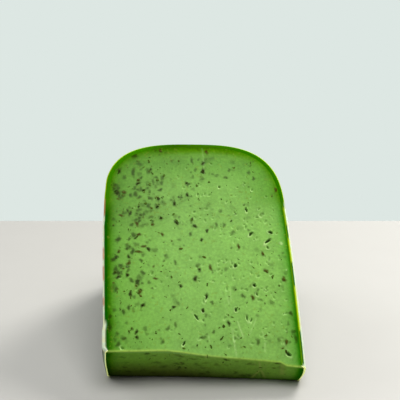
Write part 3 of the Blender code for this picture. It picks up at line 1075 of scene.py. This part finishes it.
@dataclass
class RindCoating:
    """The thin coating over the rind: a closed shell over the flats and the rim, pale where it was cut,
    partly its own cut edge and partly a painted reflection.
    """

    cut: WheelCut
    grid: SkinGrid
    thickness: float = 1.00 * MM
    pale_core: float = 0.40 * MM
    tip_pale: float = 1.3 * MM
    # Stretches of the right flat's cut edge with painted backlight, as (from, to, strength) in millimetres of
    # reach.
    backlit_lime_runs: Rows = ((67.0, 79.0, 1.0), (86.0, 95.5, 0.6), (34.0, 55.0, 1.0))
    rusty_runs: Pairs = ((91.5, 100.0), (69.0, 75.0), (59.0, 66.0), (47.0, 51.0))

    def build(self, material: bpy.types.Material) -> bpy.types.Object:
        """Model the coating.

        Args:
            material: the coating's material.

        Returns:
            The finished piece.
        """
        along = self.grid.stations()
        rings = self.grid.rings()
        layers = [self._layer(rings, along, inset) for inset in (0.0, self.pale_core, self.thickness)]
        rows, columns = layers[0].shape[:2]
        count = rows * columns
        ids = np.arange(count).reshape(rows, columns)
        loop = np.concatenate([ids[0], ids[1:, -1], ids[-1, -2::-1], ids[-2:0:-1, 0]])
        middle = np.arange(len(loop)) + 2 * count
        face, core, inner = (layer.reshape(-1, 3) for layer in layers)
        points = np.concatenate([face, inner, core[loop]])
        outer = np.stack([ids[:-1, :-1], ids[1:, :-1], ids[1:, 1:], ids[:-1, 1:]], axis=-1).reshape(-1, 4)
        quads = [outer, outer[:, ::-1] + count]
        quads += [self._band(loop, middle), self._band(middle, loop + count)]
        mesh = bpy.data.meshes.new("rind_coating")
        mesh.from_pydata(points.tolist(), [], np.concatenate(quads).tolist())
        for name, (face, core, inner) in self._tones(rings, along, layers[0]).items():
            add_attribute(mesh, name, np.concatenate([face.ravel(), inner.ravel(), core.ravel()[loop]]))
        mesh.shade_smooth()
        mesh.set_sharp_from_angle(angle=math.radians(50))
        mesh.materials.append(material)
        return link_object("rind_coating", mesh)

    def _layer(self, rings: list[Ring], along: np.ndarray, inset: float) -> np.ndarray:
        """One sheet of the shell, as rows of rings."""
        return np.stack([self.grid.ring_points(ring, along, np.empty(0), inset) for ring in rings])

    @staticmethod
    def _band(first: np.ndarray, second: np.ndarray) -> np.ndarray:
        """Quads between two closed loops of point numbers."""
        return np.stack([first, np.roll(first, -1), np.roll(second, -1), second], axis=-1)

    def _tones(
        self, rings: list[Ring], along: np.ndarray, points: np.ndarray
    ) -> dict[str, tuple[np.ndarray, np.ndarray, np.ndarray]]:
        """Where the coating is pale, lime, rusty or vivid, and where it has a painted glow.
        Pale is partly the coating's own cut edge and partly a painted reflection of the side lights; lime is
        painted light shining through the edge from behind.

        Args:
            rings: the shell's rings.
            along: its stations.
            points: the outer sheet's points.

        Returns:
            For each tone, its strength on the outer sheet, in the middle of the cut edges and on the inner
            sheet.
        """
        cut = self.cut
        depths = [ring.depth / cut.rind_round if ring.side is not RingSide.BETWEEN else 1.0 for ring in rings]
        ends = [ring.side is not RingSide.BETWEEN or ring.share in (0.0, 1.0) for ring in rings]
        depth = np.where(ends, depths, 3.0)[:, None]
        reach = cut.reach_of(points)
        right = (along > math.pi / 2)[None, :] | (depth < 0)
        from_tip = reach - reach[:, [0]] * ~right - reach[:, [-1]] * right
        wide = ~right * step(reach, 41, 38)
        fade = np.where(right, step(reach, 99, 94), step(reach, 93, 90))
        backlit_lime_run = sum(self._run(reach, low, high) * strength for low, high, strength in self.backlit_lime_runs)
        rusty_run = sum(self._run(reach, low, high) for low, high in self.rusty_runs)
        across = points[..., 0] / MM
        shoulder = step(reach, 92, 100) * step(abs(across), 8, 26)
        opened = step(depth, 1.5, 1.1)
        outer = step(depth, 0.02, 0.105)
        tip_end = np.clip(1.2 - from_tip * MM / self.tip_pale, 0, 1) + 0.0 * depth
        # Pale: partly the coating's own cut edge, partly a painted reflection of the side lights along the
        # flats and at the tip's ends.
        pale = np.maximum(opened * fade * np.maximum(outer, wide), tip_end)
        # Painted light shining through the cut edge from behind: lime along the right flat and at the
        # shoulders.
        lime = right * opened * fade * backlit_lime_run * (1 - 0.8 * outer) * (1 - tip_end)
        lime = np.maximum(lime, 0.75 * shoulder * opened * step(depth, 0.1, 0.3))
        rusty = ~right * opened * outer * rusty_run * (1 - tip_end)
        vivid = np.maximum(opened, (abs(across + 36) < 14) * (reach > 95) * (depth < 2))
        at_tip = (from_tip < 0.01) + 0.0 * depth
        low = at_tip * (points[..., 2] < 9 * MM) * 0.5
        nothing, everything = 0.0 * depth + 0.0 * reach, 1.0 + 0.0 * depth + 0.0 * reach
        return {
            "pale": (pale * (1 - low), np.maximum(at_tip * (1 - low), wide * 0.4), at_tip * 0.5),
            "lime": (np.maximum(lime, low), np.maximum(low, 0.2 * right * fade), low * 0.5),
            "rusty": (rusty, nothing, nothing),
            "vivid": (vivid, everything, everything),
            "rim": (step(reach, 92, 118),) * 3,
            "shoulder": (shoulder + nothing,) * 3,
            # Painted glow of the coating's cut edge at the tip.
            "glow": (at_tip, at_tip, at_tip * 0.7),
        }

    @staticmethod
    def _run(reach: np.ndarray, low: float, high: float) -> np.ndarray:
        """Strength of a stretch of the edge, softly ended."""
        soft = 0.75
        return step(reach, low - soft, low + soft) * step(reach, high + soft, high - soft)


@dataclass
class HerbFlecks:
    """Flakes of dried herb cut through by the knife, lying flush in the cut faces."""

    cut: WheelCut
    density: float = 40000.0
    smallest: float = 0.40 * MM
    largest: float = 1.5 * MM
    thickness: float = 0.16 * MM
    bare_share: float = 0.8
    seed: int = 5
    herb_field: HerbField = HerbField()

    def scatter(self, body: bpy.types.Object, material: bpy.types.Material) -> bpy.types.Object:
        """Scatter small flakes over the body's cut faces.

        Args:
            body: the cheese, whose mesh stores how thickly the herbs lie.
            material: the flakes' material.

        Returns:
            The finished piece.
        """
        tree = GeometryMaker("herb_scatter")
        density = tree.given("Density", self.density)
        seed = tree.given("Seed", self.seed)
        smallest = tree.given("Smallest", self.smallest)
        largest = tree.given("Largest", self.largest)
        thickness = tree.given("Thickness", self.thickness)
        share = tree.stored("herb_share")
        spread = tree.node(
            "GeometryNodeDistributePointsOnFaces",
            {"distribute_method": "RANDOM"},
            {"Mesh": tree.geometry(), "Density": density * share, "Seed": seed},
            "Points",
        )
        facing = Value(tree, spread.socket.node.outputs["Rotation"])
        size = smallest + (largest - smallest) * tree.random(0.0, 1.0, 1) ** 3.0
        stretch = tree.random(1.0, 2.1, 2)
        spin = tree.random(0.0, math.tau, 3)
        tint = tree.random(0.15, 1.0, 4)
        laid = self._lay(tree, spread, facing, spin, (size * stretch, size / stretch**0.4, thickness), tint)
        tree.finish(laid, material)
        return tree.run(body.data.copy(), "herb_scatter")

    def place(self, material: bpy.types.Material) -> bpy.types.Object:
        """Lay the flakes that stand out, each in its own place.

        Args:
            material: the flakes' material.

        Returns:
            The finished piece.
        """
        mesh = bpy.data.meshes.new("fleck_places")
        bare = [herb for herb in self.herb_field.herbs(self.cut) if herb.kind is not HerbKind.SUNK]
        places = [self.cut.on_cut(herb.across * MM, herb.reach * MM) for herb in bare]
        mesh.from_pydata([tuple(place) for place in places], [], [])
        stored = {
            "spin": [math.radians(herb.turn + 90) for herb in bare],
            "length": [herb.length * MM * self.bare_share for herb in bare],
            "width": [herb.width * MM * self.bare_share for herb in bare],
            "hue": [herb.kind.value for herb in bare],
        }
        for name, values in stored.items():
            add_attribute(mesh, name, np.array(values))
        tree = GeometryMaker("placed_herbs")
        thickness = tree.given("Thickness", self.thickness * 1.15)
        right = Vector((1, 0, 0))
        up = self.cut.cut_normal.cross(right).normalized()
        normal = self.cut.cut_normal
        frame_axes = Matrix((up.cross(normal), up, normal)).transposed()
        facing = tree.node("FunctionNodeEulerToRotation", {}, {0: tuple(frame_axes.to_euler())})
        scale = (tree.stored("length"), tree.stored("width"), thickness)
        spin = tree.stored("spin")
        laid = self._lay(tree, tree.geometry(), facing, spin, scale, tree.stored("hue"))
        tree.finish(laid, material)
        return tree.run(mesh, "herb_flecks")

    def _lay(
        self,
        tree: GeometryMaker,
        points: Value,
        facing: Value,
        spin: Value,
        scale: tuple[Value, Value, Value],
        tint: Value,
    ) -> Value:
        """Lay a ragged flake on each point.

        Args:
            tree: the tree to work in.
            points: the points.
            facing: rotation that lays a flake flat on the face.
            spin: its turn within the face.
            scale: its length, width and thickness.
            tint: its place on the colour ramp.

        Returns:
            The flakes as one mesh.
        """
        turn = tree.node("ShaderNodeCombineXYZ", {}, {2: spin})
        turned = tree.node("FunctionNodeEulerToRotation", {}, {0: turn})
        spun = tree.node("FunctionNodeRotateRotation", {"rotation_space": "LOCAL"}, {0: facing, 1: turned})
        size = tree.node("ShaderNodeCombineXYZ", {}, dict(enumerate(scale)))
        flake = tree.node("GeometryNodeMeshUVSphere", {}, {"Segments": 9, "Rings": 4, "Radius": 0.5})
        flat = tree.vector("MULTIPLY", tree.node("GeometryNodeInputPosition"), (2.0, 2.0, 0.0))
        flake = tree.store(flake, "rim", tree.vector("LENGTH", flat, output="Value"), "POINT")
        sockets = {"Points": points, "Instance": flake, "Rotation": spun, "Scale": size}
        laid = tree.node("GeometryNodeInstanceOnPoints", {}, sockets)
        tinted = tree.store(laid, "tint", tint)
        sized = tree.store(tinted, "breadth", scale[1])
        real = tree.node("GeometryNodeRealizeInstances", {}, {"Geometry": sized})
        return self._ragged(tree, real)

    def _ragged(self, tree: GeometryMaker, geometry: Value) -> Value:
        """Make each flake's outline uneven."""
        where = tree.node("GeometryNodeInputPosition")
        breadth = tree.stored("breadth")
        rough = tree.noise(where, 0.9 * MM, 1.0, "Color")
        offset = tree.scaled(tree.vector("SUBTRACT", rough, (0.5, 0.5, 0.5)), breadth * 1.1)
        moved = tree.node("GeometryNodeSetPosition", {}, {"Geometry": geometry, "Offset": offset})
        return tree.node("GeometryNodeSetShadeSmooth", {}, {"Geometry": moved})


# Finishes


@dataclass(frozen=True)
class PasteFinish:
    """The green paste: pale inside, darker and greener towards the rind, with herbs showing through."""

    cut: WheelCut
    left_stops: Stops = (
        (1.3, (16, 88, 0)), (2.3, (24, 96, 0)), (3, (42, 108, 1)), (3.5, (56, 118, 3)),
        (4.1, (68, 129, 12)), (4.7, (82, 142, 28)), (5.4, (90, 151, 38)), (6.4, (98, 158, 50)),
        (8, (110, 168, 62)), (12, (120, 176, 71)), (18, (126, 182, 77)), (36, (136, 189, 89)),
    )
    right_stops: Stops = (
        (1.3, (26, 110, 0)), (2.1, (34, 116, 2)), (2.7, (54, 131, 16)), (3.3, (78, 148, 36)),
        (3.9, (96, 162, 54)), (4.7, (109, 171, 66)), (6.4, (124, 181, 78)), (9, (132, 186, 85)),
        (14, (137, 190, 88)), (36, (136, 189, 89)),
    )
    shoulder_stops: Stops = (
        (1.2, (52, 120, 0)), (2.1, (60, 130, 2)), (3, (76, 140, 10)), (4, (86, 146, 22)),
        (5, (92, 152, 32)), (6.2, (97, 157, 42)), (9, (106, 165, 56)), (13, (116, 174, 67)),
        (20, (126, 182, 77)), (30, (136, 189, 89)),
    )
    rim_stops: Stops = (
        (1.2, (50, 98, 0)), (2.2, (56, 108, 0)), (2.9, (62, 116, 0)), (3.6, (71, 127, 0)),
        (4.3, (81, 136, 0)), (4.9, (88, 141, 2)), (5.5, (89, 147, 17)), (6.1, (96, 153, 33)),
        (6.9, (103, 158, 47)), (8.4, (107, 161, 57)), (11, (109, 165, 63)), (16, (119, 174, 71)),
        (26, (134, 188, 86)),
    )
    # Painted shade for the cut across the tip, from none to darkest and most olive at its foot.
    foot_shade_tones: Stops = (
        (0.0, (1.0, 1.0, 1.0, 1.0)), (0.02, (0.95, 0.95, 0.62, 1.0)), (0.31, (0.78, 0.78, 0.42, 1.0)),
        (0.62, (0.55, 0.45, 0.26, 1.0)), (0.77, (0.42, 0.31, 0.17, 1.0)),
        (1.0, (0.34, 0.20, 0.14, 1.0)),
    )
    deepest: float = 36.0
    low_left: float = -0.9
    foot_left: float = 1.6
    low_right: float = -0.6
    high_right: float = -0.4

    def make(self) -> bpy.types.Material:
        """Build the material."""
        maker = ShaderMaker("herb_cheese_paste")
        place = maker.place()
        depth, reach = self._rind_depth(maker, place)
        colour = self._banded(maker, place, depth, reach)
        colour = self._mottled(maker, place, colour)
        colour = self._spotted(maker, place, colour)
        # Patchy noise that breaks up both the pale knife scores and the painted ridge highlight.
        wear_and_highlight_breakup = maker.noise(place, 1.6 * MM).ease(0.35, 0.62, 0.45, 1.0)
        colour = maker.layered(
            colour,
            (maker.attribute("score") * wear_and_highlight_breakup * 0.65, srgb(180, 220, 134)),
            # Painted highlight on the pits' lower-left lips.
            ((maker.attribute("lip") * 0.6).at_most(0.85), srgb(188, 226, 140)),
        )
        # Painted shade on the cut across the tip, darkest and most olive at its foot and at the left.
        foot = maker.ramp(self.foot_shade_tones, maker.attribute("foot"))
        colour = maker.mix_colour(1.0, colour, foot, "MULTIPLY")
        colour = maker.layered(
            colour,
            # Painted highlight on the lit sides of the folds in the cut across the tip.
            (maker.attribute("crease"), srgb(150, 176, 80)),
            # Painted highlight along the tip's upper ridge.
            (maker.attribute("ridge") * wear_and_highlight_breakup.ease(0.4, 1.0, 0.7, 1.0), srgb(196, 234, 104)),
            # Painted shade inside the pits and the pressed-in crease.
            (maker.attribute("hollow").ease(0.1, 0.9) * 0.88, srgb(26, 44, 6)),
        )
        grain = maker.noise(place, 0.5 * MM, 3.0)
        rough = maker.noise(place, 2.5 * MM) * 0.16 + 0.46
        maker.shader.subsurface_method = "RANDOM_WALK"
        return maker.surface(
            Base_Color=colour,
            Roughness=rough,
            Normal=maker.bump(grain, 0.05 * MM),
            IOR=1.42,
            Specular_IOR_Level=0.0,
            Coat_Weight=depth.ease(3.0, 7.0) * 0.12,
            Coat_Roughness=0.4,
            Subsurface_Weight=0.06,
            Subsurface_Radius=(0.7, 1.0, 0.3),
            Subsurface_Scale=0.4 * MM,
        )

    def _rind_depth(self, maker: ShaderMaker, place: Value) -> tuple[Value, Value]:
        """Follow the wheel's outline inwards.

        Args:
            maker: the material's nodes.
            place: object coordinates.

        Returns:
            The depth below the rind in millimetres, and the distance from the wheel's axis in metres.
        """
        cut = self.cut
        x, y, z = maker.split(place)
        y = y - cut.axis_y
        turn = maker.math("ARCTAN2", z, y)
        z = z + x * turn * (math.sin(cut.cut_roll) / cut.wedge_angle)
        reach = (y * y + z * z) ** 0.5
        left = maker.math("LESS_THAN", x, 0.0)
        shift = self._shift(maker, reach, cut.left_shift) * left
        shift = shift + self._shift(maker, reach, cut.right_shift) * (1 - left)
        x = x - shift * (abs(x) / (cut.height / 2)) ** 3
        rim = left * (cut.rim_depth_left - cut.rim_depth_right) + cut.rim_depth_right
        wide = (abs(x) / (cut.height / 2)).at_least(0.02)
        high = ((reach - cut.radius + rim) / rim).at_least(0.0001)
        power = cut.rim_power
        level = ((wide**power + high**power) ** (1 / power)).at_least(0.3)
        slope_x = wide ** (power - 1) / (cut.height / 2)
        slope_r = high ** (power - 1) / rim
        slope = (slope_x * slope_x + slope_r * slope_r) ** 0.5 * level ** (1 - power)
        return (1 - level) / slope.at_least(1.0) / MM, reach

    @staticmethod
    def _shift(maker: ShaderMaker, reach: Value, shifts: Pairs) -> Value:
        """How far a flat stands out of true, in metres."""
        longest = 0.14
        stops = tuple((at / longest, (by / MM, by / MM, by / MM, 1.0)) for at, by in shifts)
        return maker.ramp(stops, reach / longest) * MM

    def _banded(self, maker: ShaderMaker, place: Value, depth: Value, reach: Value) -> Value:
        """Colour by depth below the rind: its bands differ at the flats, the shoulders and the rim."""
        x, _, z = maker.split(place)
        wander = maker.noise(place, 4 * MM) - 0.5
        share = depth + wander * 1.3 * depth.ease(1.5, 5.0, 0.4, 1.0)
        low_left = z.ease(0.024, 0.038, self.low_left, 0.0) + z.ease(0.014, 0.020, self.foot_left, 0.0)
        right = z.ease(0.024, 0.044, self.low_right, 0.0) + z.ease(0.052, 0.066, 0.0, self.high_right)
        ramps = []
        for given, shift in (
            (self.left_stops, low_left),
            (self.right_stops, right),
            (self.shoulder_stops, 0.0),
            (self.rim_stops, x.ease(-0.020, 0.004, -0.7, 0.4)),
        ):
            stops = tuple((at / self.deepest, srgb(*colour)) for at, colour in given)
            ramps.append(maker.ramp(stops, (share + shift) / self.deepest))
        flats = maker.mix_colour(x.ease(-0.010, 0.010), ramps[0], ramps[1])
        near_rim = maker.mix_colour(abs(x - 0.004).ease(0.031, 0.013), ramps[2], ramps[3])
        return maker.mix_colour(reach.ease(0.090, 0.103), flats, near_rim)

    def _mottled(self, maker: ShaderMaker, place: Value, colour: Value) -> Value:
        """Lighter and darker patches of curd, with painted shade at the upper left and towards the bottom
        near the tip.
        """
        broad = maker.noise(place, 7 * MM)
        fine = maker.noise(place, 1.2 * MM, 3.0)
        patches = maker.noise(place, 11 * MM, 1.0).ease(0.35, 0.6)
        olive = maker.noise(place, 1.5 * MM).ease(0.58, 0.70) * patches
        colour = maker.mix_colour(olive * 0.42, colour, srgb(128, 150, 44))
        x, _, z = maker.split(place)
        # Painted shade: darker at the upper left, and towards the bottom near the tip.
        corner = z.ease(0.057, 0.069) * x.ease(0.004, -0.030, 0.08, 0.22)
        foot = z.ease(0.018, 0.036, 0.10, 0.0) * x.ease(-0.020, 0.0, 0.65, 1.0)
        mottle_and_painted_shade = (broad * 0.35 + fine * 0.6 + 0.525) * (1 - corner) * (1 - foot)
        return maker.scaled(colour, mottle_and_painted_shade)

    @staticmethod
    def _spotted(maker: ShaderMaker, place: Value, colour: Value) -> Value:
        """Dark and rusty spots where herbs lie in the cuts, with soft ragged edges."""
        ragged = (maker.noise(place, 0.9 * MM, 3.0) - 0.5) * 1.1
        spot = (maker.attribute("herb_far") + ragged).ease(1.5, 0.3) * maker.attribute("herb_strength")
        tone = maker.mix_colour(maker.attribute("herb_rust"), srgb(36, 46, 4), srgb(66, 50, 4))
        return maker.mix_colour(spot * 0.92, colour, tone)


@dataclass(frozen=True)
class CoatingFinish:
    """Green coating over the rind, pale and lime where the knife opened it.
    The pale is partly the coating's own cut edge and partly a painted reflection of the side lights, the lime
    is painted light shining through the edge from behind, and the tip's cut edge has a painted glow.
    """

    def make(self) -> bpy.types.Material:
        """Build the material."""
        maker = ShaderMaker("rind_coating")
        place = maker.place()
        cloth = maker.noise(place, 2.5 * MM, 3.0)
        broad = maker.noise(place, 14 * MM).ease(0.3, 0.7)
        names = ("vivid", "rim", "shoulder", "lime", "pale", "rusty", "glow")
        vivid, rim, shoulder, lime, pale, rusty, glow = (maker.attribute(name) for name in names)
        x = maker.split(place)[0]
        flat_tone = maker.mix_colour(x.ease(-0.02, 0.02), srgb(16, 92, 0), srgb(30, 110, 0))
        rim_tone = maker.mix_colour(x.ease(-0.016, 0.004), srgb(42, 86, 0), srgb(56, 108, 0))
        shoulder_tone = maker.mix_colour(x.ease(-0.01, 0.03), srgb(56, 126, 0), srgb(44, 112, 0))
        cream = maker.mix_colour(cloth.ease(0.4, 0.6), srgb(238, 240, 196), srgb(228, 246, 216))
        colour = maker.layered(
            srgb(26, 66, 4),
            (broad * 0.6, srgb(48, 92, 8)),
            (cloth.ease(0.4, 0.7) * 0.35, srgb(76, 122, 22)),
            (vivid, maker.layered(flat_tone, (rim, rim_tone), (shoulder, shoulder_tone))),
            # Painted backlight through the cut edge.
            (lime, srgb(200, 228, 30)),
            # Pale cut edge, partly a painted reflection of the side lights.
            (pale, cream),
            (rusty * 0.75, srgb(206, 140, 100)),
            # Painted glow at the tip's cut edge, in the base colour.
            (glow * 0.8, srgb(236, 244, 150)),
        )
        # Painted glow: the tip's cut edge gives off light of its own, as if lit from behind, though it is no
        # lamp.
        maker.shader.inputs["Emission Strength"].default_value = 1.0
        return maker.surface(
            Base_Color=colour,
            Emission_Color=maker.mix_colour(glow, (0.0, 0.0, 0.0, 1.0), (0.34, 0.38, 0.12, 1.0)),
            Roughness=cloth * 0.2 + 0.45,
            Normal=maker.bump(cloth, 0.15 * MM),
            IOR=1.4,
            Specular_IOR_Level=0.0,
            Coat_Weight=(1 - vivid.at_least(pale).at_least(lime).at_most(1.0)) * 0.5,
            Coat_Roughness=0.22,
        )


@dataclass(frozen=True)
class HerbFinish:
    """Dried herb and pepper: mostly near black olive, some green, a few rusty."""

    stops: Stops = (
        (0.0, (30, 30, 4)), (0.12, (40, 44, 8)), (0.35, (62, 82, 20)), (0.70, (82, 112, 36)),
        (0.88, (92, 112, 38)), (1.0, (72, 58, 12)),
    )

    def make(self) -> bpy.types.Material:
        """Build the material."""
        maker = ShaderMaker("dried_herb")
        stops = tuple((at, srgb(*colour)) for at, colour in self.stops)
        tone = maker.ramp(stops, maker.attribute("tint"))
        grain = maker.noise(maker.place(), 0.4 * MM)
        rim = maker.attribute("rim").ease(0.5, 1.0) * 0.6
        patches = grain.ease(0.35, 0.7) * 0.3
        colour = maker.layered(tone, (patches, srgb(80, 96, 26)), (rim, srgb(78, 112, 36)))
        return maker.surface(
            Base_Color=colour,
            Roughness=grain * 0.3 + 0.5,
            Normal=maker.bump(grain, 0.04 * MM),
            Specular_IOR_Level=0.04,
        )


@dataclass(frozen=True)
class TableFinish:
    """Plain pale table top."""

    def make(self) -> bpy.types.Material:
        """Build the material."""
        maker = ShaderMaker("pale_table")
        speck = maker.noise(maker.place(), 30 * MM)
        colour = maker.mix_colour(speck * 0.5, srgb(186, 184, 179), srgb(178, 176, 171))
        return maker.surface(Base_Color=colour, Roughness=speck * 0.1 + 0.5)


# Studio


@dataclass(frozen=True)
class AreaLight:
    """A soft rectangular light, in metres and watts."""

    name: str
    place: tuple[float, float, float]
    size: tuple[float, float]
    power: float
    colour: tuple[float, float, float] = (1.0, 1.0, 1.0)


@dataclass
class Studio:
    """Table, soft lights and a camera that looks down at the cheese as in the photograph."""

    cut: WheelCut
    heading: float = math.radians(4.75)
    pitch: float = math.radians(20.01)
    camera_height: float = 0.1748
    camera_aside: float = 0.0032
    camera_back: float = 0.2126
    lens: float = 54.0
    table_end: float = 0.4324
    table_front: float = 0.60
    table_half_width: float = 0.75
    aim: tuple[float, float, float] = (0.0, 0.0, 0.04)
    lights: tuple[AreaLight, ...] = (
        AreaLight("window_back_right", (0.40, 0.28, 0.55), (0.25, 0.25), 4.6, (1.0, 0.99, 0.96)),
        AreaLight("window_back_left", (-0.62, 0.38, 0.40), (0.5, 0.6), 2.4, (0.97, 0.99, 1.0)),
        AreaLight("overhead", (0.06, -0.16, 0.85), (0.6, 0.5), 6.2),
    )
    wall: tuple[float, float, float, float] = field(default_factory=lambda: srgb(221, 231, 227))

    def build(self) -> None:
        """Make the table, the lights, the world and the camera."""
        self._table()
        for light in self.lights:
            self._light(light)
        self._world()
        self._camera()
        view = bpy.context.scene.view_settings
        view.view_transform = "Standard"
        view.look = "None"

    def _camera_place(self) -> Vector:
        """The camera's place in the part's frame."""
        c, s = math.cos(self.heading), math.sin(self.heading)
        x = -c * self.camera_aside - s * self.camera_back
        y = s * self.camera_aside - c * self.camera_back
        return Vector((x, y + self.cut.axis_y, self.camera_height))

    def _camera(self) -> None:
        """The camera, looking ahead and down."""
        data = bpy.data.cameras.new("camera")
        data.lens = self.lens
        data.sensor_width = 36.0
        data.clip_start = 0.01
        camera = bpy.data.objects.new("camera", data)
        camera.location = self._camera_place()
        camera.rotation_euler = Euler((math.pi / 2 - self.pitch, 0.0, -self.heading))
        bpy.context.scene.collection.objects.link(camera)
        bpy.context.scene.camera = camera

    def _table(self) -> None:
        """A thin table top that ends behind the cheese."""
        eye = self._camera_place()
        ahead = Vector((math.sin(self.heading), math.cos(self.heading), 0))
        aside = Vector((ahead.y, -ahead.x, 0))
        foot = Vector((eye.x, eye.y, 0))
        far, near = foot + ahead * self.table_end, foot - ahead * self.table_front
        wide = aside * self.table_half_width
        top = [near - wide, near + wide, far + wide, far - wide]
        drop = Vector((0, 0, -0.02))
        points = [tuple(p) for p in top] + [tuple(p + drop) for p in top]
        faces = [(0, 1, 2, 3), (7, 6, 5, 4)] + [(i, i + 4, (i + 1) % 4 + 4, (i + 1) % 4) for i in range(4)]
        mesh = bpy.data.meshes.new("table")
        mesh.from_pydata(points, [], faces)
        mesh.materials.append(TableFinish().make())
        link_object("table", mesh)

    def _light(self, light: AreaLight) -> None:
        """One soft light, aimed at the cheese."""
        data = bpy.data.lights.new(light.name, "AREA")
        data.shape = "RECTANGLE"
        data.size, data.size_y = light.size
        data.energy = light.power
        data.color = light.colour
        lamp = bpy.data.objects.new(light.name, data)
        lamp.location = light.place
        way = Vector(self.aim) - Vector(light.place)
        lamp.rotation_euler = way.to_track_quat("-Z", "Y").to_euler()
        bpy.context.scene.collection.objects.link(lamp)

    def _world(self) -> None:
        """Pale surroundings, brighter behind the cheese than in front of it."""
        world = bpy.data.worlds.new("studio")
        world.use_nodes = True
        bpy.context.scene.world = world
        maker = NodeMaker(world.node_tree)
        way = maker.node("ShaderNodeTexCoord", output="Generated")
        strength = maker.split(way)[1].ease(-0.5, 0.8, 0.04, 0.34)
        seen = maker.node("ShaderNodeLightPath", output="Is Camera Ray")
        strength = strength * (1 - seen) + seen
        background = world.node_tree.nodes["Background"]
        background.inputs["Color"].default_value = self.wall
        maker.feed(background.inputs["Strength"], strength)


def main() -> None:
    """Build the cheese and its studio."""
    logging.basicConfig(level=logging.INFO, format="%(message)s")
    cut = WheelCut()
    grid = SkinGrid(cut)
    body = CheeseBody(cut, grid).build(PasteFinish(cut).make())
    coating = RindCoating(cut, grid).build(CoatingFinish().make())
    herb = HerbFinish().make()
    herbs = HerbFlecks(cut)
    for piece in (body, coating, herbs.place(herb), herbs.scatter(body, herb)):
        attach(piece, BODY)
        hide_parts(WEDGE_NODE)
        triangles = sum(len(face.vertices) - 2 for face in piece.data.polygons)
        log.info("%s: %d triangles", piece.name, triangles)
    Studio(cut).build()


if __name__ == "__main__":
    main()
